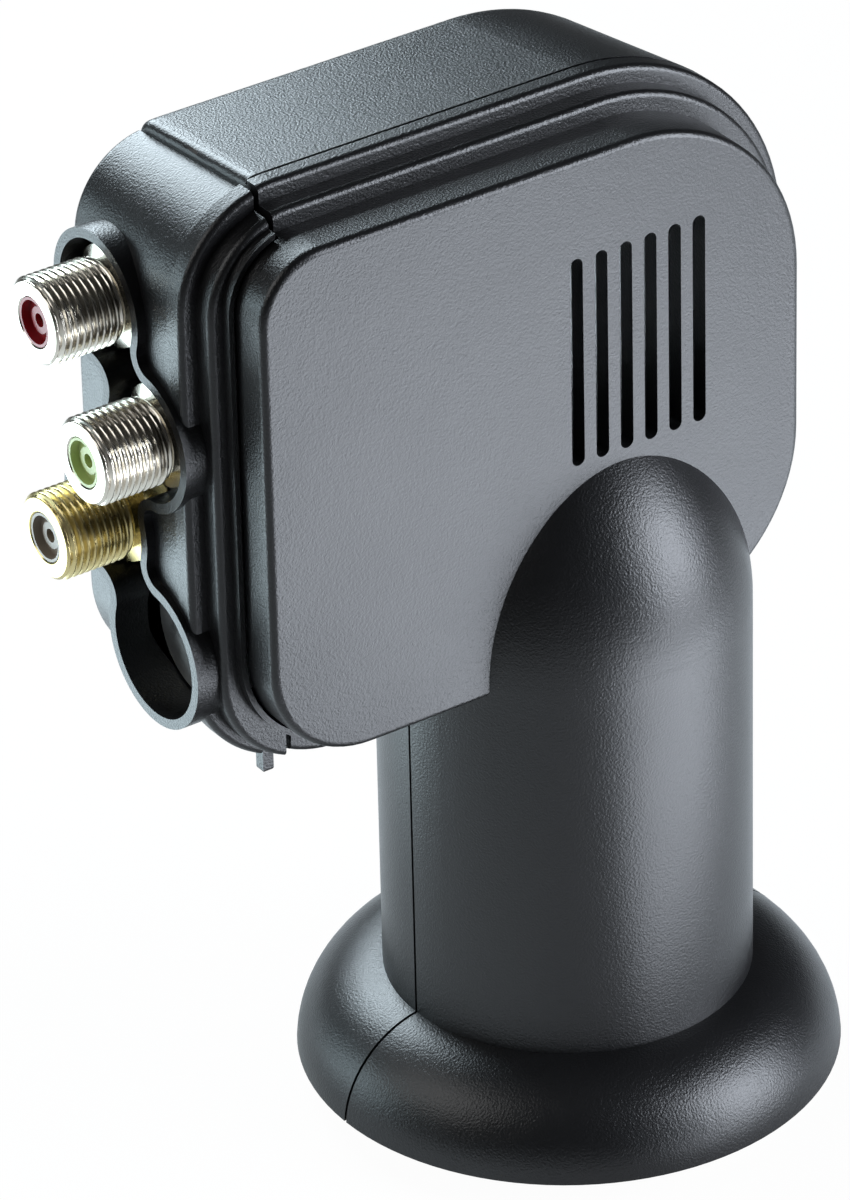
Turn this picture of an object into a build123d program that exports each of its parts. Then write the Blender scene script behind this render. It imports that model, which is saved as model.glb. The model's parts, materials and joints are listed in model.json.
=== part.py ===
"""Satellite LNB with three F sockets on one end, standing on its feed cap.

Millimetres, +Z up. The origin is the centre of the feed cap's outer face, on the axis of the clamp
neck. The box's broad front faces -Y and the sockets point along -X.
"""

import os
from math import sqrt

from build123d import *

os.makedirs("parts", exist_ok=True)

# Housing: clamp neck, dome over the waveguide, and flange round the feed mouth
neck_dia = 40.0
wall = 2.0
dome_foot_z = 57.8
dome_rise = 25.3
dome_crown_r = 16.0
flange_base_z = 3.0
flange_turn = 0.7
flange_cover = 4.55
flange_rise = 11.0

# Housing: outline of the box as seen from the front
box_left = -47.3
box_right = 27.07
box_bottom = 52.7
box_top = 119.7
corner_top_left = 11.3
corner_top_right = 25.2
corner_bottom_right = 22.8
corner_bottom_left = 15.8

# Housing: steps from the seam forward to the raised front face, and the draft of the half behind the seam
band_depth = 2.4
bead_depth = 2.5
face_depth = 5.73
band_step = 1.9
bead_step = 2.1
bead_low = 0.9
bead_round = 0.7
face_round = 0.8
back_draft = 1.4
back_corner_top_right = 27.5
back_round = 2.65

# Shadow line along the seam between the two halves
seam_width = 0.35
seam_depth = 0.6

# Vent slots in the front face
slot_count = 6
slot_pitch = 3.077
slot_row_inset = 32.333
slot_width = 1.6
slot_length = 24.07
slot_drop = 15.25

# Posts of the front half and rests of the rear half, which hold the casting between them
post_dia = 4.0
rest_dia = 6.0
rest_height = 0.6

# Snap hooks of the rear half, which reach into the front half
hook_width = 6.0
hook_thickness = 1.2
hook_reach = 2.4
hook_root = 4.0
hook_clearance = 0.2

# Connector cover on the left end
cover_length = 9.5
bead_gap = 0.6
joint_round = 1.0
cover_proud = 0.3
cover_drop = 1.3
cover_bead_drop = 0.2
cover_end_draft = 1.6
cover_back_round = 1.0
cover_corner_top = 12.0
cover_corner_bottom = 14.0
cover_rear_corner_top = 11.0
cover_rear_corner = 14.5
lip_height = 1.2
lip_thickness = 0.6
lip_gap = 0.3
tongue_cover = 0.2
spigot_reach = 2.6
spigot_thickness = 1.2
spigot_clearance = 0.2
lug_size = 1.3
lug_drop = 0.8
lug_round = 0.4

# Sockets in a zigzag down the end, and the lobed collar round them
socket_pitch_z = 12.5
socket_row_drop = 1.11
socket_rear_y = 12.24
socket_stagger = 8.05
collar_reach = 0.68
collar_sink = 1.4
collar_lobe_r = 7.75
collar_blank_r = 8.25
collar_wall = 1.1
collar_waist_r = 1.9

# F socket, 3/8-32 thread
thread_dia = 9.525
socket_reach = 12.7
thread_chamfer = 0.5
relief_dia = 8.0
relief_length = 1.2
hex_flats = 11.0
hex_thickness = 2.8
stub_dia = 6.0
socket_bore_dia = 5.4
tail_bore_dia = 3.2
socket_clearance = 0.05
seal_thickness = 0.5

# Insulator and centre contact
insulator_inset = 0.1
insulator_wall = 0.3
insulator_recess = 1.0
insulator_length = 9.0
insulator_hole_dia = 1.5
insulator_boss_dia = 2.9
insulator_boss_rise = 0.35
contact_dia = 1.3
contact_inset = 1.6
lead_dia = 0.9
lead_run = 1.4
seal_dia = 10.4

# Die-cast chassis: tray in the box, waveguide and horn in the neck
pad_rise = 1.38
pad_clearance = 0.3
chassis_gap = 5.7
chassis_front_y = -2.4
chassis_rim_cover = 0.5
chassis_wall = 2.5
guide_dia = 17.48
guide_wall = 2.0
guide_top_drop = 11.1
guide_end = 3.0
neck_fit = 0.3
ring_top_z = 54.0
ring_height = 6.0
ring_slope = 4.0
horn_throat_z = 24.0
horn_outer_z = 30.0
horn_shoulder_z = 16.0
horn_mouth_dia = 30.0
mouth_dia = 50.0
mouth_thickness = 4.0
choke_inset = 3.0
choke_width = 3.5
choke_depth = 2.6

# Feed cap and its flat seal
cap_overlap = 1.5
cap_thickness = 2.4
cap_round = 2.2
skirt_clearance = 0.2
skirt_wall = 1.0
skirt_height = 3.0
feed_seal_thickness = 0.8
feed_seal_inset = 0.4
feed_seal_width = 1.9

# Lid, gasket and screws of the chassis
gasket_thickness = 0.4
lid_thickness = 1.2
lid_inset = 0.2
screw_dia = 2.5
screw_head_dia = 4.6
screw_head_height = 0.8
screw_length = 9.0
screw_clearance = 0.1
boss_dia = 6.4
boss_inset = 5.2

# Circuit board and its parts
board_clearance = 0.2
board_thickness = 1.4
board_gap = 0.4
board_hole_dia = 3.2
probe_dia = 1.0
probe_sleeve_dia = 2.8
straight_probe_z = 69.0
straight_probe_reach = 2.0
bent_probe_z = 64.0
bent_probe_reach = 5.0
converter_size = 7.0
switch_size = 9.0
chip_height = 0.9
crystal_length = 5.0
crystal_width = 3.2
crystal_height = 1.0
regulator_length = 6.5
regulator_width = 3.5
regulator_height = 1.0
transistor_length = 2.0
transistor_width = 1.3
transistor_height = 0.7
choke_size = 4.0
part_row_inset = 6.5
part_pitch = 12.0
transistor_pitch = 4.0
choke_height = 3.0

# Places that follow from the sizes above
neck_r = neck_dia / 2
flange_reach = mouth_dia / 2 + flange_cover - neck_r
flange_r = (flange_reach**2 + flange_rise**2) / (2 * flange_reach)
dome_side_r = (neck_r**2 - dome_crown_r**2 + (dome_rise - dome_crown_r) ** 2) / (2 * (neck_r - dome_crown_r))
front_y = band_depth + bead_depth + face_depth
face_base_y = band_depth + bead_depth
face_inset = band_step + bead_step
box_corners = (corner_top_left, corner_top_right, corner_bottom_right, corner_bottom_left)
back_corners = (corner_top_left, back_corner_top_right, corner_bottom_right, corner_bottom_left)
box_edges = (box_left, box_right, box_bottom, box_top)
bead_edges = (box_left, box_right, box_bottom - bead_low, box_top)
joint_x = box_left + cover_length
chassis_left = box_left + chassis_gap
chassis_right = box_right - chassis_gap
chassis_bottom = box_bottom + chassis_gap
chassis_top = box_top - chassis_gap
chassis_edges = (chassis_left, chassis_right, chassis_bottom, chassis_top)
chassis_corners = [corner - chassis_gap for corner in box_corners]
chassis_rim_y = socket_rear_y + stub_dia / 2 + chassis_rim_cover
back_depth = chassis_rim_y + gasket_thickness + lid_thickness + rest_height + wall
board_y = socket_rear_y + lead_dia / 2 + board_clearance
guide_top_z = dome_foot_z + dome_rise - guide_top_drop
cap_dia = mouth_dia + 2 * cap_overlap
choke_outer_dia = mouth_dia - 2 * choke_inset
choke_inner_dia = choke_outer_dia - 2 * choke_width
feed_seal_outer_dia = mouth_dia - 2 * feed_seal_inset
feed_seal_inner_dia = feed_seal_outer_dia - 2 * feed_seal_width
slot_first_x = box_right - slot_row_inset
slot_middle_z = box_top - slot_drop - slot_length / 2
cover_left = box_left - cover_proud
cover_right = joint_x + 2 * cover_rear_corner
cover_corners = (cover_corner_top, cover_corner_top, cover_corner_bottom, cover_corner_bottom)
cover_rear_corners = (cover_rear_corner_top, cover_rear_corner_top, cover_rear_corner, cover_rear_corner)
cover_edges = (cover_left, cover_right, box_bottom, box_top - cover_drop)
cover_rear_edges = (cover_left - back_draft + cover_end_draft, cover_right, box_bottom, box_top - cover_drop)
cover_band_edges = (cover_left, cover_right, box_bottom, box_top - cover_bead_drop)
cover_bead_edges = (cover_left, cover_right, box_bottom - bead_low, box_top - cover_bead_drop)
collar_rim_x = cover_left - collar_reach
collar_tube_x = cover_left + band_step + collar_sink
pad_x = chassis_left - pad_rise
socket_end_x = pad_x - socket_reach
socket_front_y = socket_rear_y - socket_stagger
socket_top_z = (box_bottom + box_top) / 2 - socket_row_drop + 1.5 * socket_pitch_z
lobes = (
    (socket_rear_y, socket_top_z),
    (socket_front_y, socket_top_z - socket_pitch_z),
    (socket_rear_y, socket_top_z - 2 * socket_pitch_z),
    (socket_front_y, socket_top_z - 3 * socket_pitch_z),
)
socket_places = dict(zip(("top", "middle", "bottom"), lobes))
mouth_z = cap_thickness + feed_seal_thickness
board_back_y = board_y + board_thickness
gasket_y = chassis_rim_y
lid_y = gasket_y + gasket_thickness
guide_r = guide_dia / 2
guide_outer_r = guide_r + guide_wall
hex_x = pad_x - seal_thickness
relief_x = hex_x - hex_thickness
thread_x = relief_x - relief_length
insulator_x = socket_end_x + insulator_inset
insulator_end_x = insulator_x + insulator_length
chassis_inner_x = chassis_left + chassis_wall
lead_x = chassis_inner_x + lead_run
middle_z = (chassis_bottom + chassis_top) / 2
screw_places = (
    (chassis_left + corner_top_left, chassis_top - boss_inset),
    ((chassis_left + chassis_right) / 2, chassis_top - boss_inset),
    (chassis_right - chassis_corners[1] / 2, chassis_top - boss_inset - chassis_wall),
    (chassis_right - boss_inset, middle_z),
    (chassis_right - chassis_corners[2] / 2, chassis_bottom + boss_inset + chassis_wall),
    (chassis_left + boss_inset + chassis_wall, chassis_bottom + boss_inset + chassis_wall),
)
board_middle_x = (chassis_left + chassis_right) / 2
part_row_x = chassis_inner_x + part_row_inset
converter_place = (board_middle_x, guide_top_z + converter_size)
crystal_place = (board_middle_x, guide_top_z + converter_size + part_pitch)
switch_place = (board_middle_x - part_pitch, middle_z)
regulator_places = [(part_row_x, z) for y, z in socket_places.values()]
choke_places = [(part_row_x, z - socket_pitch_z / 2) for y, z in socket_places.values()]
transistor_places = [
    (x, guide_top_z + guide_end + row * transistor_pitch)
    for x in (-transistor_pitch / 2, transistor_pitch / 2)
    for row in (1, 2)
]
post_places = (screw_places[0], screw_places[3], screw_places[5])
rest_places = ((chassis_left / 2, middle_z), (chassis_right / 2, middle_z))


def outline(edges, corners, inset, depth):
    """Rounded outline moved in by inset, on the plane that lies depth in front of the seam."""
    left, right, bottom, top = edges
    points = (
        (left + inset, top - inset),
        (right - inset, top - inset),
        (right - inset, bottom + inset),
        (left + inset, bottom + inset),
    )
    with BuildSketch(Plane.XZ.offset(depth)) as face:
        with BuildLine():
            Polyline(*points, close=True)
        make_face()
        for point, radius in zip(points, corners):
            fillet(face.vertices().sort_by_distance(point)[0], radius - inset)
    return face.sketch


def drafted_block(edges, corners, rear_edges, rear_corners, skin, mode=Mode.ADD):
    """Block from the seam to the back, narrower by the draft there, moved in by skin."""
    front = outline(edges, corners, skin, 0)
    rear = outline(rear_edges, rear_corners, skin + back_draft, skin - back_depth)
    loft(sections=[front, rear], ruled=True, mode=mode)


def neck_section(skin):
    """Half section of flange, neck and dome, moved in by skin from the outside."""
    radius = neck_r - skin
    foot_r = flange_r - skin
    side_r = dome_side_r - skin
    foot_x = neck_r + flange_reach - flange_r
    foot_z = flange_base_z - flange_turn
    foot_top_z = foot_z + sqrt(foot_r**2 - (radius - foot_x) ** 2)
    rim_r = foot_x + sqrt(foot_r**2 - flange_turn**2)
    side_centre = Vector(neck_r - dome_side_r, dome_foot_z)
    crown_centre = Vector(0, dome_foot_z + dome_rise - dome_crown_r)
    meeting = side_centre + (crown_centre - side_centre).normalized() * side_r
    with BuildSketch(Plane.XZ) as face:
        with BuildLine():
            base = Line((0, flange_base_z), (rim_r, flange_base_z))
            RadiusArc(base @ 1, (radius, foot_top_z), -foot_r)
            side = Line((radius, foot_top_z), (radius, dome_foot_z))
            RadiusArc(side @ 1, meeting, -side_r)
            crown = RadiusArc(meeting, (0, dome_foot_z + dome_rise - skin), skin - dome_crown_r)
            Line(crown @ 1, base @ 0)
        make_face()
    return face.sketch


def housing_outline(skin):
    """Outline of the housing in the plane of the seam, moved in by skin."""
    with BuildSketch(Plane.XZ) as face:
        add(neck_section(skin))
        mirror(about=Plane.YZ)
        add(outline(box_edges, box_corners, skin, 0))
    return face.sketch


def seam_strip():
    """Strip just inside the housing's outline in the plane of the seam."""
    with BuildSketch(Plane.XZ) as strip:
        add(housing_outline(0))
        add(housing_outline(seam_depth), mode=Mode.SUBTRACT)
    return strip.sketch


def wall_inside(corner):
    """Distance from the box's edge to the inside of its wall, at the joint within the corner."""
    run = max(box_left + corner - joint_x, 0)
    return corner - sqrt((corner - wall) ** 2 - run**2)


def waist(upper, lower, upper_r, lower_r):
    """Hollow-sided web between two neighbouring lobes, tangent to both."""
    span = Vector(*lower) - Vector(*upper)
    along = span.normalized()
    across = Vector(-along.Y, along.X)
    upper_reach = upper_r + collar_waist_r
    lower_reach = lower_r + collar_waist_r
    foot = (span.length**2 + upper_reach**2 - lower_reach**2) / (2 * span.length)
    height = sqrt(upper_reach**2 - foot**2)
    middle = Vector(*upper) + along * foot
    with BuildSketch() as web:
        with BuildLine():
            Polyline(upper, middle + across * height, lower, middle - across * height, close=True)
        make_face()
        with Locations(middle + across * height, middle - across * height):
            Circle(collar_waist_r, mode=Mode.SUBTRACT)
    return web.sketch


def lobed_outline(grow, x):
    """Outline through the four lobes, grown from the collar's outside, on the plane at x."""
    radii = [collar_lobe_r] * (len(lobes) - 1) + [collar_blank_r]
    with BuildSketch(Plane.YZ.offset(x)) as face:
        for lobe, radius in zip(lobes, radii):
            with Locations(lobe):
                Circle(radius)
        for i in range(len(lobes) - 1):
            add(waist(lobes[i], lobes[i + 1], radii[i], radii[i + 1]))
        if grow:
            offset(amount=grow, mode=Mode.REPLACE)
    return face.sketch


def snap_hook(x, z, side):
    """Hook under the wall at height z; side is 1 where the wall lies above it and -1 below."""
    tongue_z = z - side * (band_step + wall + hook_clearance + hook_thickness / 2)
    root_low = z - side * wall / 2
    root_high = tongue_z - side * hook_thickness / 2
    with Locations((x, (hook_root - hook_reach) / 2, tongue_z)):
        Box(hook_width, hook_root + hook_reach, hook_thickness)
    with Locations((x, hook_root / 2 + seam_width, (root_low + root_high) / 2)):
        Box(hook_width, hook_root - 2 * seam_width, abs(root_high - root_low))


def socket_disc(name, x, dia):
    """Disc on the axis of a socket, on the plane at x."""
    with BuildSketch(Plane.YZ.offset(x)) as face:
        with Locations(socket_places[name]):
            Circle(dia / 2)
    return face.sketch


def socket_hexagon(name, x):
    """Hexagon on the axis of a socket, on the plane at x."""
    with BuildSketch(Plane.YZ.offset(x)) as face:
        with Locations(socket_places[name]):
            RegularPolygon(hex_flats / 2, 6, major_radius=False)
    return face.sketch


def board_discs(places, dia, y):
    """Equal discs at places in the plane at y."""
    with BuildSketch(Plane.XZ.offset(-y)) as face:
        with Locations(*places):
            Circle(dia / 2)
    return face.sketch


def board_pads(places, length, width, y):
    """Equal rectangles at places in the plane at y."""
    with BuildSketch(Plane.XZ.offset(-y)) as face:
        with Locations(*places):
            Rectangle(length, width)
    return face.sketch


def shape_barrel(body, name):
    """Socket body: threaded end, relief groove, hexagon, and the stub in the casting."""
    extrude(socket_disc(name, socket_end_x, thread_dia), amount=thread_x - socket_end_x)
    chamfer(body.faces().sort_by(Axis.X)[0].edges(), thread_chamfer)
    extrude(socket_disc(name, thread_x, relief_dia), amount=relief_length)
    extrude(socket_hexagon(name, relief_x), amount=hex_thickness)
    extrude(socket_disc(name, hex_x, stub_dia), amount=chassis_inner_x - hex_x)
    bore = socket_disc(name, socket_end_x, socket_bore_dia)
    extrude(bore, amount=insulator_end_x - socket_end_x, mode=Mode.SUBTRACT)
    tail = socket_disc(name, insulator_end_x, tail_bore_dia)
    extrude(tail, amount=chassis_inner_x - insulator_end_x, mode=Mode.SUBTRACT)


def shape_insulator(name):
    """Coloured plug in the bore: a thin cup with a ring round the hole for the centre contact."""
    plug_dia = socket_bore_dia - 2 * socket_clearance
    extrude(socket_disc(name, insulator_x, plug_dia), amount=insulator_length)
    cup = socket_disc(name, insulator_x, plug_dia - 2 * insulator_wall)
    extrude(cup, amount=insulator_recess, mode=Mode.SUBTRACT)
    ring = socket_disc(name, insulator_x + insulator_recess, insulator_boss_dia)
    extrude(ring, amount=-insulator_boss_rise)
    hole = socket_disc(name, insulator_x, insulator_hole_dia)
    extrude(hole, amount=insulator_length, mode=Mode.SUBTRACT)


def shape_contact(name):
    """Centre contact, its lead through the tail bore, and the leg that is soldered to the board."""
    y, z = socket_places[name]
    contact_x = insulator_x + contact_inset
    extrude(socket_disc(name, contact_x, contact_dia), amount=insulator_end_x - contact_x)
    extrude(socket_disc(name, insulator_end_x, lead_dia), amount=lead_x - insulator_end_x)
    with Locations((lead_x, y, z)):
        Sphere(lead_dia / 2)
    extrude(board_discs([(lead_x, z)], lead_dia, board_y), amount=board_y - y)


# Front half of the housing
with BuildPart() as front_shell:
    extrude(outline(box_edges, box_corners, 0, 0), amount=band_depth)
    fillet(front_shell.faces().sort_by(Axis.Y)[0].edges(), bead_round)
    extrude(outline(bead_edges, box_corners, band_step, band_depth), amount=bead_depth)
    fillet(front_shell.faces().sort_by(Axis.Y)[0].edges(), bead_round)
    extrude(outline(box_edges, box_corners, face_inset, face_base_y), amount=face_depth)
    fillet(front_shell.faces().sort_by(Axis.Y)[0].edges(), face_round)
    # The connector cover takes the left end, apart from the raised face
    tongue_y = face_base_y + lip_height - tongue_cover
    with Locations((joint_x, 0, box_bottom)):
        Box(
            joint_x - box_left,
            tongue_y,
            box_top - box_bottom,
            align=(Align.MAX, Align.MAX, Align.MIN),
            mode=Mode.SUBTRACT,
        )
    revolve(neck_section(0), axis=Axis.Z)
    split(bisect_by=Plane.XZ, keep=Keep.TOP)
    # Hollow that follows the steps at the thickness of the wall
    extrude(outline(box_edges, box_corners, wall, 0), amount=band_depth - wall, mode=Mode.SUBTRACT)
    step_hollow = outline(box_edges, box_corners, band_step + wall, 0)
    extrude(step_hollow, amount=face_base_y - wall, mode=Mode.SUBTRACT)
    face_hollow = outline(box_edges, box_corners, face_inset + wall, 0)
    extrude(face_hollow, amount=front_y - wall, mode=Mode.SUBTRACT)
    revolve(neck_section(wall), axis=Axis.Z, mode=Mode.SUBTRACT)
    with BuildSketch(Plane.XZ.offset(front_y - wall)):
        for i in range(slot_count):
            with Locations((slot_first_x + i * slot_pitch, slot_middle_z)):
                SlotOverall(slot_length, slot_width, rotation=90)
    extrude(amount=wall, mode=Mode.SUBTRACT)
    extrude(seam_strip(), amount=seam_width, mode=Mode.SUBTRACT)
    with BuildSketch(Plane.XZ.offset(-chassis_front_y)):
        with Locations(*post_places):
            Circle(post_dia / 2)
    extrude(amount=front_y - wall + chassis_front_y)
front_shell.part.label = "front_shell"
export_step(front_shell.part, "parts/front_shell.step")

# Rear half of the housing
with BuildPart() as rear_shell:
    drafted_block(box_edges, box_corners, box_edges, back_corners, 0)
    fillet(rear_shell.faces().sort_by(Axis.Y)[-1].edges(), back_round)
    with Locations((joint_x, 0, box_bottom)):
        Box(
            joint_x - box_left,
            back_depth,
            box_top - box_bottom,
            align=(Align.MAX, Align.MIN, Align.MIN),
            mode=Mode.SUBTRACT,
        )
    joint_edges = rear_shell.faces().sort_by(Axis.X)[0].edges()
    fillet(joint_edges.filter_by(lambda edge: edge.center().Y > seam_width), joint_round)
    revolve(neck_section(0), axis=Axis.Z)
    split(bisect_by=Plane.XZ, keep=Keep.BOTTOM)
    drafted_block(box_edges, box_corners, box_edges, back_corners, wall, Mode.SUBTRACT)
    revolve(neck_section(wall), axis=Axis.Z, mode=Mode.SUBTRACT)
    with BuildSketch(Plane.XZ.offset(wall - back_depth)):
        with Locations(*rest_places):
            Circle(rest_dia / 2)
    extrude(amount=rest_height)
    snap_hook(joint_x + 3 * hook_width, box_top, 1)
    snap_hook(box_right - corner_top_right - hook_width, box_top, 1)
    snap_hook((joint_x - neck_r) / 2, box_bottom, -1)
rear_shell.part.label = "rear_shell"
export_step(rear_shell.part, "parts/rear_shell.step")

# End cover with the lobed collar
with BuildPart() as connector_cover:
    drafted_block(cover_edges, cover_corners, cover_rear_edges, cover_rear_corners, 0)
    fillet(connector_cover.faces().sort_by(Axis.Y)[-1].edges(), cover_back_round)
    extrude(outline(cover_band_edges, cover_corners, 0, 0), amount=band_depth)
    fillet(connector_cover.faces().sort_by(Axis.Y)[0].edges(), bead_round)
    extrude(outline(cover_bead_edges, cover_corners, band_step, band_depth), amount=bead_depth)
    fillet(connector_cover.faces().sort_by(Axis.Y)[0].edges(), bead_round)
    lip_inset = face_inset - lip_gap - lip_thickness
    extrude(outline(box_edges, box_corners, lip_inset, face_base_y), amount=lip_height)
    # Trim to the joint with the two shells, a little further back along the beads
    with Locations((joint_x, 0, box_bottom)):
        Box(
            box_right - joint_x,
            back_depth,
            box_top - box_bottom,
            align=(Align.MIN, Align.MIN, Align.MIN),
            mode=Mode.SUBTRACT,
        )
    with Locations((joint_x - bead_gap, 0, box_bottom)):
        Box(
            box_right - joint_x + bead_gap,
            face_base_y + lip_height,
            box_top - box_bottom,
            align=(Align.MIN, Align.MAX, Align.MIN),
            mode=Mode.SUBTRACT,
        )
    # Hollow, and the opening that the raised face stands in
    drafted_block(cover_edges, cover_corners, cover_rear_edges, cover_rear_corners, wall, Mode.SUBTRACT)
    extrude(outline(cover_edges, cover_corners, wall, 0), amount=band_depth, mode=Mode.SUBTRACT)
    opening = outline(box_edges, box_corners, face_inset - lip_gap, 0)
    extrude(opening, amount=face_base_y + lip_height, mode=Mode.SUBTRACT)
    # Collar round the sockets
    extrude(lobed_outline(0, collar_rim_x), amount=collar_tube_x - collar_rim_x)
    collar_hole = lobed_outline(-collar_wall, collar_rim_x)
    extrude(collar_hole, amount=chassis_inner_x - collar_rim_x, mode=Mode.SUBTRACT)
    # Tabs that slide into the rear shell, above and below
    top_tab_z = box_top - wall_inside(corner_top_left) - back_draft - spigot_clearance - spigot_thickness
    bottom_tab_z = box_bottom + wall_inside(corner_bottom_left) + back_draft + spigot_clearance
    for low_z in (top_tab_z, bottom_tab_z):
        with Locations((joint_x + spigot_reach, back_depth - wall - spigot_clearance, low_z)):
            Box(
                spigot_reach + wall,
                back_depth - 2 * wall,
                spigot_thickness,
                align=(Align.MAX, Align.MAX, Align.MIN),
            )
    # Latch lug under the lower edge
    with BuildSketch(Plane.XZ.offset(band_depth - lug_size)):
        with Locations((joint_x - bead_gap, box_bottom + wall)):
            Rectangle(lug_size, lug_drop + wall, align=(Align.MAX, Align.MAX))
    extrude(amount=lug_size)
    fillet(connector_cover.faces().sort_by(Axis.Z)[0].edges(), lug_round)
connector_cover.part.label = "connector_cover"
export_step(connector_cover.part, "parts/connector_cover.step")

# Feed cap, on which the whole thing stands, and its seal
with BuildPart() as feed_cap:
    with BuildSketch():
        Circle(cap_dia / 2)
    extrude(amount=cap_thickness)
    fillet(feed_cap.faces().sort_by(Axis.Z)[0].edges(), cap_round)
    with BuildSketch(Plane.XY.offset(cap_thickness)):
        Circle(mouth_dia / 2 + skirt_clearance + skirt_wall)
        Circle(mouth_dia / 2 + skirt_clearance, mode=Mode.SUBTRACT)
    extrude(amount=skirt_height)
feed_cap.part.label = "feed_cap"
export_step(feed_cap.part, "parts/feed_cap.step")

with BuildPart() as feed_seal:
    with BuildSketch(Plane.XY.offset(cap_thickness)):
        Circle(feed_seal_outer_dia / 2)
        Circle(feed_seal_inner_dia / 2, mode=Mode.SUBTRACT)
    extrude(amount=feed_seal_thickness)
feed_seal.part.label = "feed_seal"
export_step(feed_seal.part, "parts/feed_seal.step")

# Die-cast chassis: tray, waveguide, horn and connector pad in one casting
ring_r = neck_r - wall - neck_fit
with BuildPart() as cast_chassis:
    tray_depth = chassis_rim_y - chassis_front_y
    extrude(outline(chassis_edges, chassis_corners, 0, -chassis_front_y), amount=-tray_depth)
    tray_floor = outline(chassis_edges, chassis_corners, chassis_wall, -chassis_front_y - chassis_wall)
    extrude(tray_floor, amount=chassis_wall - tray_depth, mode=Mode.SUBTRACT)
    extrude(lobed_outline(-collar_wall - pad_clearance, pad_x), amount=chassis_inner_x - pad_x)
    # The pad stands higher than the rim, so it is cut back where the lid lies
    with Locations((chassis_left, chassis_rim_y, chassis_bottom)):
        Box(
            chassis_wall,
            collar_lobe_r,
            chassis_top - chassis_bottom,
            align=(Align.MIN, Align.MIN, Align.MIN),
            mode=Mode.SUBTRACT,
        )
    with BuildSketch(Plane.XZ):
        with BuildLine():
            Polyline(
                (0, guide_top_z + guide_end),
                (guide_outer_r, guide_top_z + guide_end),
                (guide_outer_r, ring_top_z),
                (ring_r, ring_top_z),
                (ring_r, ring_top_z - ring_height),
                (guide_outer_r, ring_top_z - ring_height - ring_slope),
                (guide_outer_r, horn_outer_z),
                (ring_r, horn_shoulder_z),
                (ring_r, mouth_z + mouth_thickness),
                (mouth_dia / 2, mouth_z + mouth_thickness),
                (mouth_dia / 2, mouth_z),
                (0, mouth_z),
                close=True,
            )
        make_face()
    revolve(axis=Axis.Z)
    with BuildSketch(Plane.XZ.offset(-board_y)):
        with Locations(*screw_places):
            Circle(boss_dia / 2)
    extrude(amount=board_y - chassis_front_y)
    with BuildSketch(Plane.XZ):
        with BuildLine():
            Polyline(
                (0, guide_top_z),
                (guide_r, guide_top_z),
                (guide_r, horn_throat_z),
                (horn_mouth_dia / 2, mouth_z),
                (0, mouth_z),
                close=True,
            )
        make_face()
    revolve(axis=Axis.Z, mode=Mode.SUBTRACT)
    with BuildSketch(Plane.XY.offset(mouth_z)):
        Circle(choke_outer_dia / 2)
        Circle(choke_inner_dia / 2, mode=Mode.SUBTRACT)
    extrude(amount=choke_depth, mode=Mode.SUBTRACT)
    with BuildSketch(Plane.XZ.offset(-board_y)):
        with Locations(*screw_places):
            Circle(screw_dia / 2 + screw_clearance)
    extrude(amount=screw_length, mode=Mode.SUBTRACT)
    with BuildSketch(Plane.YZ.offset(pad_x)):
        with Locations(*socket_places.values()):
            Circle(stub_dia / 2 + socket_clearance)
    extrude(amount=chassis_inner_x - pad_x, mode=Mode.SUBTRACT)
    with BuildSketch(Plane.XZ.offset(-board_y)):
        with Locations((0, straight_probe_z), (0, bent_probe_z)):
            Circle(probe_sleeve_dia / 2)
    extrude(amount=board_y, mode=Mode.SUBTRACT)
cast_chassis.part.label = "cast_chassis"
export_step(cast_chassis.part, "parts/cast_chassis.step")

# Lid of the casting, its gasket and its screws
with BuildPart() as chassis_lid:
    extrude(outline(chassis_edges, chassis_corners, lid_inset, -lid_y), amount=-lid_thickness)
    with BuildSketch(Plane.XZ.offset(-lid_y)):
        with Locations(*screw_places):
            Circle(screw_dia / 2 + screw_clearance)
    extrude(amount=-lid_thickness, mode=Mode.SUBTRACT)
    with BuildSketch(Plane.XZ.offset(-lid_y - lid_thickness)):
        with Locations(*screw_places):
            Circle(screw_head_dia / 2 + screw_clearance)
    extrude(amount=screw_head_height, mode=Mode.SUBTRACT)
chassis_lid.part.label = "chassis_lid"
export_step(chassis_lid.part, "parts/chassis_lid.step")

with BuildPart() as lid_gasket:
    extrude(outline(chassis_edges, chassis_corners, lid_inset, -gasket_y), amount=-gasket_thickness)
    gasket_inner = outline(chassis_edges, chassis_corners, chassis_wall - lid_inset, -gasket_y)
    extrude(gasket_inner, amount=-gasket_thickness, mode=Mode.SUBTRACT)
lid_gasket.part.label = "lid_gasket"
export_step(lid_gasket.part, "parts/lid_gasket.step")

with BuildPart() as lid_screws:
    with BuildSketch(Plane.XZ.offset(-lid_y - lid_thickness)):
        with Locations(*screw_places):
            Circle(screw_head_dia / 2)
    extrude(amount=screw_head_height)
    with BuildSketch(Plane.XZ.offset(-lid_y - lid_thickness)):
        with Locations(*screw_places):
            Circle(screw_dia / 2)
    extrude(amount=screw_length)
lid_screws.part.label = "lid_screws"
export_step(lid_screws.part, "parts/lid_screws.step")

# Circuit board on the bosses of the casting
with BuildPart() as circuit_board:
    board_outline = outline(chassis_edges, chassis_corners, chassis_wall + board_gap, -board_y)
    extrude(board_outline, amount=-board_thickness)
    with BuildSketch(Plane.XZ.offset(-board_y)):
        with Locations(*screw_places):
            Circle(board_hole_dia / 2)
    extrude(amount=-board_thickness, mode=Mode.SUBTRACT)
circuit_board.part.label = "circuit_board"
export_step(circuit_board.part, "parts/circuit_board.step")

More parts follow.
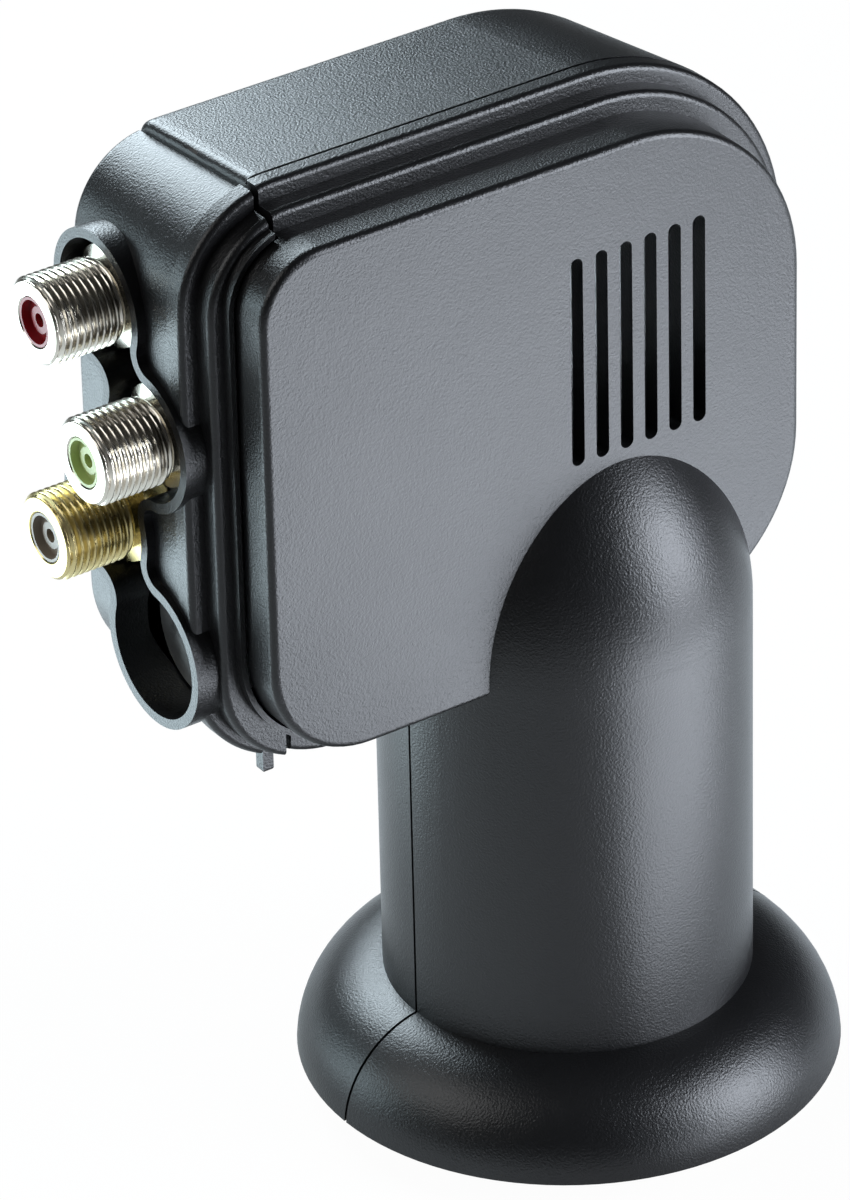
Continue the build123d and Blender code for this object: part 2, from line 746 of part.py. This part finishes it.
# Probes that reach from the board into the waveguide, and their sleeves
with BuildPart() as straight_probe:
    with BuildSketch(Plane.XZ.offset(-board_y)):
        with Locations((0, straight_probe_z)):
            Circle(probe_dia / 2)
    extrude(amount=board_y - straight_probe_reach)
straight_probe.part.label = "straight_probe"
export_step(straight_probe.part, "parts/straight_probe.step")

with BuildPart() as bent_probe:
    with BuildSketch(Plane.XZ.offset(-board_y)):
        with Locations((0, bent_probe_z)):
            Circle(probe_dia / 2)
    extrude(amount=board_y)
    with Locations((0, 0, bent_probe_z)):
        Sphere(probe_dia / 2)
    with BuildSketch(Plane.YZ):
        with Locations((0, bent_probe_z)):
            Circle(probe_dia / 2)
    extrude(amount=bent_probe_reach)
bent_probe.part.label = "bent_probe"
export_step(bent_probe.part, "parts/bent_probe.step")

with BuildPart() as probe_sleeves:
    with BuildSketch(Plane.XZ.offset(-guide_outer_r)):
        with Locations((0, straight_probe_z), (0, bent_probe_z)):
            Circle(probe_sleeve_dia / 2 - socket_clearance)
            Circle(probe_dia / 2 + socket_clearance, mode=Mode.SUBTRACT)
    extrude(amount=guide_wall)
probe_sleeves.part.label = "probe_sleeves"
export_step(probe_sleeves.part, "parts/probe_sleeves.step")

# Sockets: body, insulator and centre contact of each
with BuildPart() as connector_barrel_top:
    shape_barrel(connector_barrel_top, "top")
connector_barrel_top.part.label = "connector_barrel_top"
export_step(connector_barrel_top.part, "parts/connector_barrel_top.step")

with BuildPart() as connector_barrel_middle:
    shape_barrel(connector_barrel_middle, "middle")
connector_barrel_middle.part.label = "connector_barrel_middle"
export_step(connector_barrel_middle.part, "parts/connector_barrel_middle.step")

with BuildPart() as connector_barrel_bottom:
    shape_barrel(connector_barrel_bottom, "bottom")
connector_barrel_bottom.part.label = "connector_barrel_bottom"
export_step(connector_barrel_bottom.part, "parts/connector_barrel_bottom.step")

with BuildPart() as insulator_top:
    shape_insulator("top")
insulator_top.part.label = "insulator_top"
export_step(insulator_top.part, "parts/insulator_top.step")

with BuildPart() as insulator_middle:
    shape_insulator("middle")
insulator_middle.part.label = "insulator_middle"
export_step(insulator_middle.part, "parts/insulator_middle.step")

with BuildPart() as insulator_bottom:
    shape_insulator("bottom")
insulator_bottom.part.label = "insulator_bottom"
export_step(insulator_bottom.part, "parts/insulator_bottom.step")

with BuildPart() as contact_top:
    shape_contact("top")
contact_top.part.label = "contact_top"
export_step(contact_top.part, "parts/contact_top.step")

with BuildPart() as contact_middle:
    shape_contact("middle")
contact_middle.part.label = "contact_middle"
export_step(contact_middle.part, "parts/contact_middle.step")

with BuildPart() as contact_bottom:
    shape_contact("bottom")
contact_bottom.part.label = "contact_bottom"
export_step(contact_bottom.part, "parts/contact_bottom.step")

# Sealing rings between the hexagons and the casting
with BuildPart() as connector_seals:
    for name in socket_places:
        extrude(socket_disc(name, hex_x, seal_dia), amount=seal_thickness)
        hole = socket_disc(name, hex_x, stub_dia + 2 * socket_clearance)
        extrude(hole, amount=seal_thickness, mode=Mode.SUBTRACT)
connector_seals.part.label = "connector_seals"
export_step(connector_seals.part, "parts/connector_seals.step")

# Parts of the board, the flat ones on its back and the taller ones on its front
with BuildPart() as converter_chip:
    extrude(board_pads([converter_place], converter_size, converter_size, board_back_y), amount=-chip_height)
converter_chip.part.label = "converter_chip"
export_step(converter_chip.part, "parts/converter_chip.step")

with BuildPart() as switch_chip:
    extrude(board_pads([switch_place], switch_size, switch_size, board_back_y), amount=-chip_height)
switch_chip.part.label = "switch_chip"
export_step(switch_chip.part, "parts/switch_chip.step")

with BuildPart() as crystal:
    extrude(board_pads([crystal_place], crystal_length, crystal_width, board_back_y), amount=-crystal_height)
crystal.part.label = "crystal"
export_step(crystal.part, "parts/crystal.step")

with BuildPart() as regulators:
    spots = board_pads(regulator_places, regulator_length, regulator_width, board_back_y)
    extrude(spots, amount=-regulator_height)
regulators.part.label = "regulators"
export_step(regulators.part, "parts/regulators.step")

with BuildPart() as amplifier_transistors:
    spots = board_pads(transistor_places, transistor_length, transistor_width, board_y)
    extrude(spots, amount=transistor_height)
amplifier_transistors.part.label = "amplifier_transistors"
export_step(amplifier_transistors.part, "parts/amplifier_transistors.step")

with BuildPart() as supply_chokes:
    extrude(board_pads(choke_places, choke_size, choke_size, board_y), amount=choke_height)
supply_chokes.part.label = "supply_chokes"
export_step(supply_chokes.part, "parts/supply_chokes.step")
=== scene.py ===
"""Satellite LNB with three outputs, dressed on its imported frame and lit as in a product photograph."""
import json
from math import cos, pi, radians, sin

import bmesh
import bpy
from mathutils import Matrix, Vector


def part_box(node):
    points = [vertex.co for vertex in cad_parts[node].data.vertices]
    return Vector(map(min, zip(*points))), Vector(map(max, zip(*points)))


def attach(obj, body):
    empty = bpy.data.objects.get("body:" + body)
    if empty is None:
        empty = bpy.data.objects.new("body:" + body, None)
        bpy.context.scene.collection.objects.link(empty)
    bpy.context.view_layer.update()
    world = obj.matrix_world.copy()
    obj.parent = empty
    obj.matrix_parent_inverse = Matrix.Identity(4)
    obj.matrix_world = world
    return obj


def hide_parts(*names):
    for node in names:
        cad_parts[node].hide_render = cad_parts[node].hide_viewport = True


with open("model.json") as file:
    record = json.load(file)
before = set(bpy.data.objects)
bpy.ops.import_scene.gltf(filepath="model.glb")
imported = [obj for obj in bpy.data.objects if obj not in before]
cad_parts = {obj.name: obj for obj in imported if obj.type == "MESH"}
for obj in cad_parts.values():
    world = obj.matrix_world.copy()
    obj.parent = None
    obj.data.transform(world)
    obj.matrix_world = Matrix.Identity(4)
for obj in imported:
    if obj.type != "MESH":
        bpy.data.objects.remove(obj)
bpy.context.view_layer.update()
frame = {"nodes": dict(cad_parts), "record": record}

MM = 0.001
MICRON = 0.000001

# Sizes of the F socket, in millimetres, as in the part's source
THREAD_R = 9.525 / 2
THREAD_PITCH = 25.4 / 32
THREAD_DEPTH = 0.46
END_CHAMFER = 0.5
THREAD_LENGTH = 8.2
RELIEF_R = 4.0
RELIEF_LENGTH = 1.2
HEX_FLATS = 11.0
HEX_LENGTH = 2.8
HEX_CHAMFER = 0.35
SEAL_THICKNESS = 0.5
STUB_R = 3.0
STUB_LENGTH = 3.88
BORE_R = 2.7
BORE_CHAMFER = 0.15
BORE_DEPTH = 9.1
TAIL_R = 1.6
TURN_STEPS = 96
STEPS_PER_PITCH = 10
# The flank rises to more than 1 and is cut off there, which leaves a narrow flat crest
FLANK_TOP = 1.25
FLANK_SLOPE = 3.0
SHARP_ANGLE = radians(35)

# Fine ridge round the neck at the foot of the dome, in millimetres. It is drawn wider and higher than it
# is, to show.
MARK_Z = 58.6
MARK_WIDTH = 0.22
MARK_REACH = 20.3

# Wide unevenness in plastic and stains on metal: their width in millimetres, the part of the noise that is
# spread over the whole range of gloss, and how far the roughness swings
PLASTIC_PATCH = 9.0
METAL_PATCH = 2.5
NOISE_LOW, NOISE_HIGH = 0.3, 0.7
PLASTIC_SWING = 0.015
METAL_SMOOTHER, METAL_ROUGHER = 0.75, 1.3


def linear(hex_colour):
    """The sRGB colour of a hex value, as linear red, green, blue and full alpha."""
    channels = [int(hex_colour[i:i + 2], 16) / 255 for i in (1, 3, 5)]
    return [c / 12.92 if c <= 0.04045 else ((c + 0.055) / 1.055) ** 2.4 for c in channels] + [1.0]


def per_metre(size_mm):
    """Scale of a pattern on object coordinates, from the width of one of its features in millimetres."""
    return 1000 / size_mm


def node(tree, kind, settings=None, **links):
    """Adds a node. Settings are its properties or its sockets' values; links go from sockets into it."""
    made = tree.nodes.new(kind)
    for key, value in (settings or {}).items():
        if isinstance(key, int) or key in made.inputs:
            made.inputs[key].default_value = value
        else:
            setattr(made, key, value)
    for key, source in links.items():
        spot = int(key[1:]) if key[1:].isdigit() else key.replace("_", " ")
        tree.links.new(source, made.inputs[spot])
    return made


def new_material(name):
    """Empty material with its output, and the object coordinates that its patterns are drawn on."""
    material = bpy.data.materials.new(name)
    material.use_nodes = True
    tree = material.node_tree
    tree.nodes.clear()
    place = node(tree, "ShaderNodeTexCoord").outputs["Object"]
    return material, tree, place


def close_material(tree, shader):
    """Puts the shader on the material's output."""
    node(tree, "ShaderNodeOutputMaterial", Surface=shader.outputs[0])


def grained_plastic(name, colour, light_colour, roughness, grain_mm, grain_um, mark_um=0):
    """Moulded thermoplastic: the tool's eroded grain breaks up the reflections, and the colour is even.

    The grain is a bump of fine noise, with a softer, wider unevenness in the gloss. The mark is the fine
    ridge that a joint in the tool left round the neck, at the foot of the dome.
    """
    material, tree, place = new_material(name)
    grain = node(tree, "ShaderNodeTexNoise", {"Scale": per_metre(grain_mm), "Detail": 2.0, "Roughness": 0.55},
                 Vector=place)
    wide = node(tree, "ShaderNodeTexNoise", {"Scale": per_metre(PLASTIC_PATCH), "Detail": 2.0}, Vector=place)
    tint = node(tree, "ShaderNodeMix", {"data_type": "RGBA", 6: linear(colour), 7: linear(light_colour)},
                _0=wide.outputs["Fac"])
    gloss = node(tree, "ShaderNodeMapRange",
                 {"From Min": NOISE_LOW, "From Max": NOISE_HIGH,
                  "To Min": roughness - PLASTIC_SWING, "To Max": roughness + PLASTIC_SWING},
                 Value=wide.outputs["Fac"])
    bump = node(tree, "ShaderNodeBump", {"Strength": 1.0, "Distance": grain_um * MICRON},
                Height=grain.outputs["Fac"])
    if mark_um:
        along = node(tree, "ShaderNodeSeparateXYZ", Vector=place)
        level = node(tree, "ShaderNodeMath", {"operation": "COMPARE", 1: MARK_Z * MM, 2: MARK_WIDTH / 2 * MM},
                     _0=along.outputs["Z"])
        flat = node(tree, "ShaderNodeCombineXYZ", X=along.outputs["X"], Y=along.outputs["Y"])
        out = node(tree, "ShaderNodeVectorMath", {"operation": "LENGTH"}, _0=flat.outputs[0])
        round_neck = node(tree, "ShaderNodeMath", {"operation": "LESS_THAN", 1: MARK_REACH * MM},
                          _0=out.outputs["Value"])
        mark = node(tree, "ShaderNodeMath", {"operation": "MULTIPLY"}, _0=level.outputs[0],
                    _1=round_neck.outputs[0])
        bump = node(tree, "ShaderNodeBump", {"Strength": 1.0, "Distance": mark_um * MICRON},
                    Height=mark.outputs[0], Normal=bump.outputs[0])
    shader = node(tree, "ShaderNodeBsdfPrincipled", {"IOR": 1.5}, Base_Color=tint.outputs[2],
                  Roughness=gloss.outputs[0], Normal=bump.outputs[0])
    close_material(tree, shader)
    return material


def worked_metal(name, colour, stain, roughness, grain_mm, grain_um):
    """Metal as turned, plated or cast: the colour is in the reflection, with faint stains and a grain."""
    material, tree, place = new_material(name)
    grain = node(tree, "ShaderNodeTexNoise", {"Scale": per_metre(grain_mm), "Detail": 3.0}, Vector=place)
    wide = node(tree, "ShaderNodeTexNoise", {"Scale": per_metre(METAL_PATCH), "Detail": 3.0}, Vector=place)
    tint = node(tree, "ShaderNodeMix", {"data_type": "RGBA", 6: linear(colour), 7: linear(stain)},
                _0=wide.outputs["Fac"])
    gloss = node(tree, "ShaderNodeMapRange",
                 {"From Min": NOISE_LOW, "From Max": NOISE_HIGH,
                  "To Min": roughness * METAL_SMOOTHER, "To Max": roughness * METAL_ROUGHER},
                 Value=wide.outputs["Fac"])
    bump = node(tree, "ShaderNodeBump", {"Strength": 1.0, "Distance": grain_um * MICRON},
                Height=grain.outputs["Fac"])
    shader = node(tree, "ShaderNodeBsdfPrincipled", {"Metallic": 1.0}, Base_Color=tint.outputs[2],
                  Roughness=gloss.outputs[0], Normal=bump.outputs[0])
    close_material(tree, shader)
    return material


# Materials, one for each slot of the record. The numbers are the roughness, the width of the grain in
# millimetres, its height in micrometres and, for the shells, the height of the tool's mark.
finishes = {
    # Grey where a soft box is seen in it and near black elsewhere; the eroded grain is a fine speckle
    "black_plastic": grained_plastic("black_abs_spark_eroded", "#0f0f10", "#131314", 0.32, 0.25, 56, 600),
    # Smooth and half matt: a thin, warm line of light under the flange
    "cream_plastic": grained_plastic("cream_polypropylene_moulded", "#d9cfa9", "#e2d9b8", 0.4, 0.8, 4),
    # Matt and dark, so that a joint reads as a black line
    "seal_rubber": grained_plastic("black_rubber_moulded", "#161616", "#1d1d1d", 0.7, 0.5, 10),
    # Waxy and smooth: deep colour down in the bore, with a small soft highlight
    "red_insulator": grained_plastic("red_polyethylene_moulded", "#8c1c24", "#9c262c", 0.28, 1.2, 5),
    # The same wax-like gloss, but pale, so that the bore looks lit from inside
    "green_insulator": grained_plastic("green_polyethylene_moulded", "#b4c47c", "#bfcd8c", 0.3, 1.2, 5),
    # The same again in a dull brown grey, which sets the brass off
    "grey_insulator": grained_plastic("grey_polyethylene_moulded", "#857a6b", "#92877a", 0.3, 1.2, 5),
    # Turned and slightly matt: a soft, clean white
    "white_insulator": grained_plastic("white_ptfe_turned", "#dedede", "#e8e8e6", 0.45, 0.6, 4),
    # Lacquer over glass cloth: dark green with a faint weave of gloss
    "board_laminate": grained_plastic("green_resist_on_laminate", "#1d4a2a", "#235632", 0.35, 0.9, 6),
    # Moulded resin with a dusty, fine matt skin
    "chip_resin": grained_plastic("black_epoxy_moulded", "#191919", "#222222", 0.55, 0.3, 8),
    # As it left the die: dull grey with coarse speckle and no clear reflection
    "cast_alloy": worked_metal("aluminium_die_cast", "#c6caca", "#a2a6a6", 0.55, 0.55, 45),
    # Thin plate over turned threads: bright, warm white with strong dark bands
    "nickel_plate": worked_metal("nickel_plate_on_turned_brass", "#e4dfd4", "#cbc4b6", 0.22, 0.5, 3),
    # Bare turned metal: pale gold in the light and brown in the roots of the thread
    "brass": worked_metal("brass_turned", "#dccf9c", "#bda970", 0.26, 0.5, 3),
    # Dull, slightly blue plate
    "zinc_steel": worked_metal("steel_zinc_plated", "#b9bbbd", "#a3a6a8", 0.35, 0.4, 4),
}
for part in frame["record"]["subparts"]:
    shown = frame["nodes"][part["node"]]
    shown.data.materials.clear()
    shown.data.materials.append(finishes[part["material_slot"]])


def thread_radius(along, turn):
    """Radius of the thread at a distance from the socket's end and a part of a turn, in millimetres."""
    phase = (along / THREAD_PITCH - turn) % 1.0
    flank = min(1.0, max(0.0, FLANK_TOP - abs(phase - 0.5) * FLANK_SLOPE))
    run_out = min(1.0, max(0.0, (THREAD_LENGTH - along) / THREAD_PITCH))
    lead_in = THREAD_R - END_CHAMFER + along
    root = THREAD_R - THREAD_DEPTH
    return min(lead_in, root + THREAD_DEPTH * flank * run_out)


def hexagon_radius(turn, inset):
    """Radius of the hexagon at a part of a turn, cut by a cone that leaves round corners at its ends."""
    angle = (turn * 2 * pi + pi / 6) % (pi / 3) - pi / 6
    flat = HEX_FLATS / 2
    return min(flat / cos(angle), flat / cos(pi / 6) - inset)


def barrel_rings():
    """Rings of a socket body, from its bore over the thread to its stub: place along it, radius at a turn."""
    steps = int(THREAD_LENGTH / THREAD_PITCH * STEPS_PER_PITCH)
    hex_start = THREAD_LENGTH + RELIEF_LENGTH
    hex_end = hex_start + HEX_LENGTH
    stub_end = hex_end + SEAL_THICKNESS + STUB_LENGTH
    rings = [(BORE_DEPTH, lambda turn: BORE_R), (BORE_CHAMFER, lambda turn: BORE_R),
             (0.0, lambda turn: BORE_R + BORE_CHAMFER)]
    for i in range(steps + 1):
        along = THREAD_LENGTH * i / steps
        rings.append((along, lambda turn, along=along: thread_radius(along, turn)))
    rings += [
        (THREAD_LENGTH, lambda turn: RELIEF_R),
        (hex_start, lambda turn: RELIEF_R),
        (hex_start, lambda turn: hexagon_radius(turn, 2 * HEX_CHAMFER)),
        (hex_start + HEX_CHAMFER, lambda turn: hexagon_radius(turn, 0.0)),
        (hex_end - HEX_CHAMFER, lambda turn: hexagon_radius(turn, 0.0)),
        (hex_end, lambda turn: hexagon_radius(turn, 2 * HEX_CHAMFER)),
        (hex_end, lambda turn: STUB_R),
        (stub_end, lambda turn: STUB_R),
        (stub_end, lambda turn: TAIL_R),
        (BORE_DEPTH, lambda turn: TAIL_R),
    ]
    return rings


def threaded_socket(name, replaced, slot_name):
    """Socket body with a real helical thread, in the place of its CAD node."""
    low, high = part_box(replaced)
    centre_y = (low[1] + high[1]) / 2
    centre_z = (low[2] + high[2]) / 2
    rings = barrel_rings()
    mesh = bpy.data.meshes.new(name)
    shape = bmesh.new()
    loops = []
    for along, radius_at in rings:
        loop = []
        for k in range(TURN_STEPS):
            turn = k / TURN_STEPS
            angle = 2 * pi * turn
            radius = radius_at(turn) * MM
            place = (low[0] + along * MM, centre_y + radius * cos(angle), centre_z + radius * sin(angle))
            loop.append(shape.verts.new(place))
        loops.append(loop)
    for i, loop in enumerate(loops):
        after = loops[(i + 1) % len(loops)]
        for k in range(TURN_STEPS):
            m = (k + 1) % TURN_STEPS
            shape.faces.new((loop[k], loop[m], after[m], after[k]))
    bmesh.ops.recalc_face_normals(shape, faces=shape.faces)
    for face in shape.faces:
        face.smooth = True
    shape.to_mesh(mesh)
    shape.free()
    mesh.set_sharp_from_angle(angle=SHARP_ANGLE)
    mesh.materials.append(finishes[slot_name])
    piece = bpy.data.objects.new(name, mesh)
    bpy.context.scene.collection.objects.link(piece)
    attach(piece, "root")
    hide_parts(replaced)


threaded_socket("socket_thread_top", "connector_barrel_top", "nickel_plate")
threaded_socket("socket_thread_middle", "connector_barrel_middle", "nickel_plate")
threaded_socket("socket_thread_bottom", "connector_barrel_bottom", "brass")

# Floor: white paper. The camera sees it as white with a faint shadow. Metal and gloss show it much dimmer,
# because the room round the photographed object was dark and the neck shows deep blacks.
FLOOR_REACH = 4.0
SEEN_WHITE = 0.97
MIRRORED_WHITE = 0.06
corners = [(-FLOOR_REACH, -FLOOR_REACH, 0), (FLOOR_REACH, -FLOOR_REACH, 0),
           (FLOOR_REACH, FLOOR_REACH, 0), (-FLOOR_REACH, FLOOR_REACH, 0)]
floor_mesh = bpy.data.meshes.new("floor")
floor_mesh.from_pydata(corners, [], [(0, 1, 2, 3)])
floor = bpy.data.objects.new("floor", floor_mesh)
bpy.context.scene.collection.objects.link(floor)
floor_material, tree, place = new_material("white_paper_sweep")
rays = node(tree, "ShaderNodeLightPath")
mirrored = node(tree, "ShaderNodeMath", {"operation": "MULTIPLY", 1: MIRRORED_WHITE},
                _0=rays.outputs["Is Glossy Ray"])
direct = node(tree, "ShaderNodeMath", {"operation": "MAXIMUM"}, _0=rays.outputs["Is Camera Ray"],
              _1=rays.outputs["Is Transmission Ray"])
seen = node(tree, "ShaderNodeMath", {"operation": "MULTIPLY", 1: SEEN_WHITE}, _0=direct.outputs[0])
share = node(tree, "ShaderNodeMath", {"operation": "MAXIMUM"}, _0=seen.outputs[0], _1=mirrored.outputs[0])
paper = node(tree, "ShaderNodeBsdfDiffuse", {"Color": linear("#dcdcdc")})
glow = node(tree, "ShaderNodeEmission", {"Color": (1, 1, 1, 1), "Strength": 1.0})
mixed = node(tree, "ShaderNodeMixShader", {}, _0=share.outputs[0], _1=paper.outputs[0], _2=glow.outputs[0])
close_material(tree, mixed)
floor_mesh.materials.append(floor_material)

# World: an even, dim room for the light, and white where the camera looks past the floor
ROOM_LIGHT = 0.04
world = bpy.data.worlds.new("studio")
bpy.context.scene.world = world
world.use_nodes = True
sky = world.node_tree
sky.nodes.clear()
looks = node(sky, "ShaderNodeLightPath")
room = node(sky, "ShaderNodeBackground", {"Color": linear("#e8ebef"), "Strength": ROOM_LIGHT})
white = node(sky, "ShaderNodeBackground", {"Color": (1, 1, 1, 1), "Strength": 1.0})
mixed = node(sky, "ShaderNodeMixShader", {}, _0=looks.outputs["Is Camera Ray"], _1=room.outputs[0],
             _2=white.outputs[0])
node(sky, "ShaderNodeOutputWorld", Surface=mixed.outputs[0])


def soft_box(name, place, aim, width, height, watts, colour):
    """Rectangular soft light at a place, facing a point, all in metres."""
    lamp = bpy.data.lights.new(name, "AREA")
    lamp.shape = "RECTANGLE"
    lamp.size = width
    lamp.size_y = height
    lamp.energy = watts
    lamp.color = linear(colour)[:3]
    holder = bpy.data.objects.new(name, lamp)
    holder.location = place
    holder.rotation_euler = (Vector(aim) - Vector(place)).to_track_quat("-Z", "Y").to_euler()
    holder.visible_camera = False
    bpy.context.scene.collection.objects.link(holder)


# Two light panels lie on the floor, at the front right and the back left: they are what the front, the end
# and the neck show as soft grey. A box at the front right shows in the dome, a low one at the back left in
# the flange, one high behind in the top, and one high on the left lights the sockets.
soft_box("front_right_panel", (0.064, -0.145, 0.002), (0.064, -0.145, 1.0), 0.13, 0.19, 0.46, "#edf4ff")
soft_box("back_left_panel", (-0.135, 0.13, 0.002), (-0.135, 0.13, 1.0), 0.15, 0.15, 0.3, "#dff6ff")
soft_box("front_right_box", (0.22, -0.26, 0.15), (0, 0, 0.07), 0.22, 0.24, 2.2, "#edf4ff")
soft_box("back_left_box", (-0.28, 0.24, 0.08), (0, 0, 0.05), 0.2, 0.12, 0.35, "#dff6ff")
soft_box("back_box", (0.015, 0.3, 0.27), (0, 0, 0.12), 0.23, 0.2, 2.0, "#e6f6ff")
soft_box("left_box", (-0.5, 0.1, 0.45), (-0.04, 0, 0.09), 0.45, 0.4, 1.1, "#ffffff")

# Camera, solved from the photograph: turn, height and roll in degrees, focal length in pixels, the shifts,
# the distance and the point on the neck's axis that it was solved about in millimetres
turn, height, roll = radians(-34.114), radians(30.995), radians(-1.391)
axis_point = Vector((0, 0, 60))
focal_px, picture_height_px = 8093.0, 1200
shift_right, shift_up, distance = 14.422, 2.310, 849.55
back = Vector((sin(turn) * cos(height), -cos(turn) * cos(height), sin(height)))
right = Vector((cos(turn), sin(turn), 0))
up = right.cross(-back)
camera_right = cos(roll) * right + sin(roll) * up
camera_up = -sin(roll) * right + cos(roll) * up
camera = bpy.data.cameras.new("camera")
camera.sensor_fit = "VERTICAL"
camera.sensor_height = 36
camera.lens = focal_px / picture_height_px * camera.sensor_height
camera.clip_end = 10
viewer = bpy.data.objects.new("camera", camera)
stand = Matrix((camera_right, camera_up, back)).transposed().to_4x4()
aimed_at = axis_point - camera_right * shift_right - camera_up * shift_up
stand.translation = (aimed_at + back * distance) * MM
viewer.matrix_world = stand
bpy.context.scene.collection.objects.link(viewer)
bpy.context.scene.camera = viewer
bpy.context.scene.view_settings.view_transform = "Standard"
